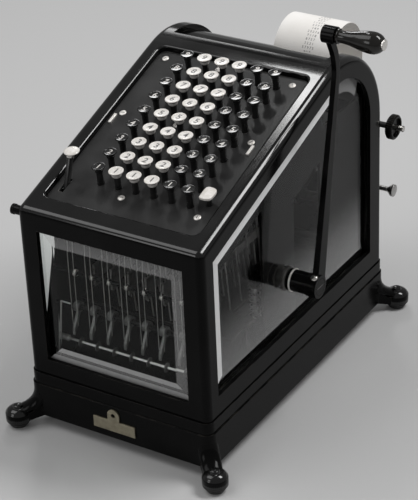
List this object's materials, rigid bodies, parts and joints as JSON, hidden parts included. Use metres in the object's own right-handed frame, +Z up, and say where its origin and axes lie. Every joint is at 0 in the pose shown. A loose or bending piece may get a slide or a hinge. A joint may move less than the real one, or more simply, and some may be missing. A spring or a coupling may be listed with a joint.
{
  "type": "mechanical adding machine",
  "caption": "Glazed mechanical adding machine with a sloping keyboard of round keys, a side crank with a turned grip and a rear paper carriage.",
  "frame": {"origin": "on the table, at the middle of the four foot holes", "axes": "+Z up, -Y towards the user at the front, +X towards the crank"},
  "size_m": [0.3033, 0.4395, 0.384],
  "materials": {
    "black_enamel": "glossy baked black enamel",
    "black_plate": "satin black paint",
    "clear_glass": "clear polished plate glass with a bevelled border",
    "rubber": "plain black rubber",
    "nickel": "polished nickel plate",
    "steel": "bright drawn steel",
    "brass": "dull brass",
    "celluloid": "white and black celluloid caps on black stems",
    "grip_black": "turned wood with black lacquer",
    "paper": "plain matt paper"
  },
  "bodies": {
    "case": {"base_casting": "black_enamel", "rubber_feet": "rubber", "base_pan": "black_plate", "case_frame": "black_enamel", "side_peg": "nickel", "front_glass": "clear_glass", "left_glass": "clear_glass", "right_glass": "clear_glass", "glass_strips": "black_plate", "rear_panel": "black_enamel", "lock_plate": "brass", "key_plate": "black_plate", "key_plate_screws": "nickel", "plate_pillars": "steel", "key_guide_plate": "black_plate", "lower_comb": "black_plate", "left_side_plate": "black_plate", "right_side_plate": "black_plate", "tie_rods": "nickel", "wheel_shaft": "steel", "sector_shaft": "steel", "crank_bushing": "nickel", "dash_pot": "black_plate", "dash_spring": "steel", "left_bracket": "black_enamel", "right_bracket": "black_enamel", "roll_spindle": "steel", "paper_strip": "paper", "tear_bar": "steel"},
    "crank": {"main_shaft": "steel", "crank_hub": "black_enamel", "crank_arm": "black_enamel", "hub_screws": "nickel", "grip_spindle": "nickel"},
    "grip": {"crank_grip": "grip_black"},
    "key_row_1_keys": {"key_row_1": "celluloid"},
    "key_row_2_keys": {"key_row_2": "celluloid"},
    "key_row_3_keys": {"key_row_3": "celluloid"},
    "key_row_4_keys": {"key_row_4": "celluloid"},
    "key_row_5_keys": {"key_row_5": "celluloid"},
    "key_row_6_keys": {"key_row_6": "celluloid"},
    "key_row_7_keys": {"key_row_7": "celluloid"},
    "key_row_8_keys": {"key_row_8": "celluloid"},
    "key_row_9_keys": {"key_row_9": "celluloid"},
    "repeat": {"repeat_key": "celluloid"},
    "total": {"total_lever": "nickel"},
    "sector_1_lever": {"sector_1": "steel"},
    "sector_2_lever": {"sector_2": "steel"},
    "sector_3_lever": {"sector_3": "steel"},
    "sector_4_lever": {"sector_4": "steel"},
    "sector_5_lever": {"sector_5": "steel"},
    "sector_6_lever": {"sector_6": "steel"},
    "pawls": {"carry_pawls": "steel"},
    "wheels": {"adding_wheels": "steel"},
    "piston": {"dash_piston": "steel"},
    "platen_roller": {"platen": "rubber", "platen_knob": "black_enamel"},
    "roll": {"paper_roll": "paper"},
    "spools": {"ribbon_spools": "steel"},
    "clamp": {"clamp_screw": "nickel"}
  },
  "joints": [
    {"name": "crank_pull", "type": "hinge", "parent": "case", "child": "crank", "pos_m": [0.125, -0.0184, 0.1322], "axis": [1, 0, 0], "range_deg": [0, 68], "stiffness_Nm_per_rad": 0.9, "springref_deg": -34.38},
    {"name": "grip_turn", "type": "hinge", "parent": "crank", "child": "grip", "pos_m": [0.157, 0.0095, 0.374], "axis": [1, 0, 0], "continuous": true},
    {"name": "key_row_1_press", "type": "slide", "parent": "case", "child": "key_row_1_keys", "axis": [0, -0.1219, 0.9925], "range_m": [-0.006, 0], "stiffness_N_per_m": 160, "springref_m": 0.006},
    {"name": "key_row_2_press", "type": "slide", "parent": "case", "child": "key_row_2_keys", "axis": [0, -0.1219, 0.9925], "range_m": [-0.006, 0], "stiffness_N_per_m": 160, "springref_m": 0.006},
    {"name": "key_row_3_press", "type": "slide", "parent": "case", "child": "key_row_3_keys", "axis": [0, -0.1219, 0.9925], "range_m": [-0.006, 0], "stiffness_N_per_m": 160, "springref_m": 0.006},
    {"name": "key_row_4_press", "type": "slide", "parent": "case", "child": "key_row_4_keys", "axis": [0, -0.1219, 0.9925], "range_m": [-0.006, 0], "stiffness_N_per_m": 160, "springref_m": 0.006},
    {"name": "key_row_5_press", "type": "slide", "parent": "case", "child": "key_row_5_keys", "axis": [0, -0.1219, 0.9925], "range_m": [-0.006, 0], "stiffness_N_per_m": 160, "springref_m": 0.006},
    {"name": "key_row_6_press", "type": "slide", "parent": "case", "child": "key_row_6_keys", "axis": [0, -0.1219, 0.9925], "range_m": [-0.006, 0], "stiffness_N_per_m": 160, "springref_m": 0.006},
    {"name": "key_row_7_press", "type": "slide", "parent": "case", "child": "key_row_7_keys", "axis": [0, -0.1219, 0.9925], "range_m": [-0.006, 0], "stiffness_N_per_m": 160, "springref_m": 0.006},
    {"name": "key_row_8_press", "type": "slide", "parent": "case", "child": "key_row_8_keys", "axis": [0, -0.1219, 0.9925], "range_m": [-0.006, 0], "stiffness_N_per_m": 160, "springref_m": 0.006},
    {"name": "key_row_9_press", "type": "slide", "parent": "case", "child": "key_row_9_keys", "axis": [0, -0.1219, 0.9925], "range_m": [-0.006, 0], "stiffness_N_per_m": 160, "springref_m": 0.006},
    {"name": "repeat_press", "type": "slide", "parent": "case", "child": "repeat", "axis": [0, -0.1219, 0.9925], "range_m": [-0.006, 0], "stiffness_N_per_m": 120, "springref_m": 0.004},
    {"name": "total_pull", "type": "hinge", "parent": "case", "child": "total", "pos_m": [-0.072, -0.128, 0.23216], "axis": [1, 0, 0], "range_deg": [0, 28], "stiffness_Nm_per_rad": 0.06, "springref_deg": -17.19},
    {"name": "sector_1_swing", "type": "hinge", "parent": "case", "child": "sector_1_lever", "pos_m": [0, 0.09, 0.16], "axis": [1, 0, 0], "range_deg": [0, 10.2]},
    {"name": "sector_2_swing", "type": "hinge", "parent": "case", "child": "sector_2_lever", "pos_m": [0, 0.09, 0.16], "axis": [1, 0, 0], "range_deg": [0, 10.2]},
    {"name": "sector_3_swing", "type": "hinge", "parent": "case", "child": "sector_3_lever", "pos_m": [0, 0.09, 0.16], "axis": [1, 0, 0], "range_deg": [0, 10.2]},
    {"name": "sector_4_swing", "type": "hinge", "parent": "case", "child": "sector_4_lever", "pos_m": [0, 0.09, 0.16], "axis": [1, 0, 0], "range_deg": [0, 10.2]},
    {"name": "sector_5_swing", "type": "hinge", "parent": "case", "child": "sector_5_lever", "pos_m": [0, 0.09, 0.16], "axis": [1, 0, 0], "range_deg": [0, 10.2]},
    {"name": "sector_6_swing", "type": "hinge", "parent": "case", "child": "sector_6_lever", "pos_m": [0, 0.09, 0.16], "axis": [1, 0, 0], "range_deg": [0, 10.2]},
    {"name": "pawl_rock", "type": "hinge", "parent": "case", "child": "pawls", "pos_m": [0, -0.138, 0.123], "axis": [1, 0, 0], "range_deg": [0, 8.2]},
    {"name": "wheels_turn", "type": "hinge", "parent": "case", "child": "wheels", "pos_m": [0, -0.138, 0.084], "axis": [1, 0, 0], "continuous": true},
    {"name": "dash_slide", "type": "slide", "parent": "case", "child": "piston", "axis": [0, 0, 1], "range_m": [-0.0216, 0], "deforming": ["dash_spring"]},
    {"name": "platen_turn", "type": "hinge", "parent": "case", "child": "platen_roller", "pos_m": [0, 0.188, 0.2015], "axis": [1, 0, 0], "continuous": true},
    {"name": "roll_turn", "type": "hinge", "parent": "case", "child": "roll", "pos_m": [0, 0.21, 0.23], "axis": [1, 0, 0], "continuous": true},
    {"name": "spools_turn", "type": "hinge", "parent": "case", "child": "spools", "pos_m": [0, 0.205, 0.16], "axis": [1, 0, 0], "continuous": true},
    {"name": "clamp_turn", "type": "hinge", "parent": "case", "child": "clamp", "pos_m": [0.09, 0.2, 0.123], "axis": [1, 0, 0], "continuous": true}
  ],
  "couplings": [
    {"joint": "sector_1_swing", "follows": "crank_pull", "ratio": 0.147},
    {"joint": "sector_2_swing", "follows": "crank_pull", "ratio": 0.147},
    {"joint": "sector_3_swing", "follows": "crank_pull", "ratio": 0.147},
    {"joint": "sector_4_swing", "follows": "crank_pull", "ratio": 0.147},
    {"joint": "sector_5_swing", "follows": "crank_pull", "ratio": 0.147},
    {"joint": "sector_6_swing", "follows": "crank_pull", "ratio": 0.147},
    {"joint": "pawl_rock", "follows": "crank_pull", "ratio": 0.1176},
    {"joint": "dash_slide", "follows": "crank_pull", "m_per_rad": -0.018}
  ]
}
